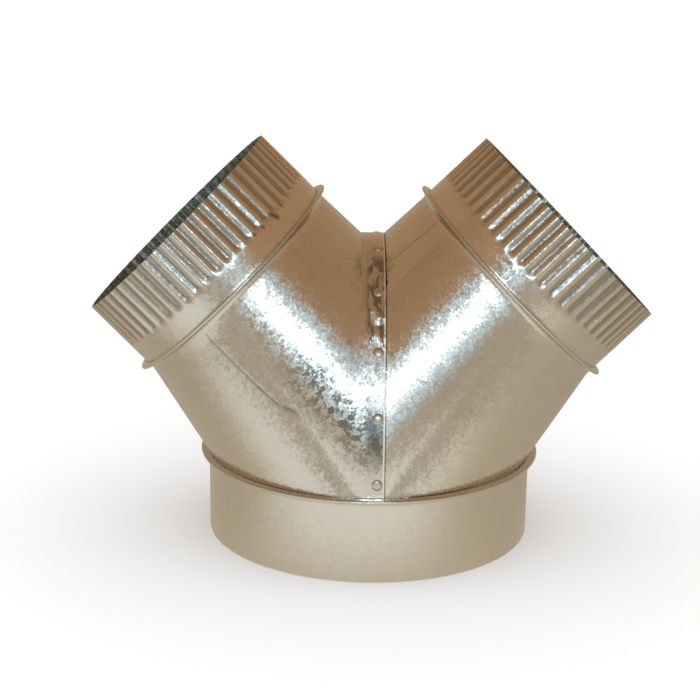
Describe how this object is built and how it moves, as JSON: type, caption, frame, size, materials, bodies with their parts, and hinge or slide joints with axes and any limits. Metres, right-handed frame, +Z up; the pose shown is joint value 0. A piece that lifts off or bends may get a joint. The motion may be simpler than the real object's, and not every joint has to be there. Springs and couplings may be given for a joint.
{
  "type": "duct y branch",
  "caption": "Galvanised sheet-steel duct Y branch: a plain round collar splits through riveted tapered shells into crimped necks at 45 degrees, joined by folded lock seams.",
  "frame": {"origin": "centre of the base collar's lower rim, on the plane the part stands on", "axes": "Z up along the base collar's axis, X across the branches towards the right neck, Y away from the viewer along the lapped centre seam"},
  "size_m": [0.3436, 0.2112, 0.2445],
  "materials": {
    "galvanised_sheet": "hot-dip galvanised zinc with a fine bright spangle",
    "rivet_steel": "zinc-plated, dull bright"
  },
  "bodies": {
    "root": {"base_collar": "galvanised_sheet", "left_branch": "galvanised_sheet", "right_branch": "galvanised_sheet", "left_neck": "galvanised_sheet", "right_neck": "galvanised_sheet", "lap_rivets": "rivet_steel"}
  },
  "joints": []
}
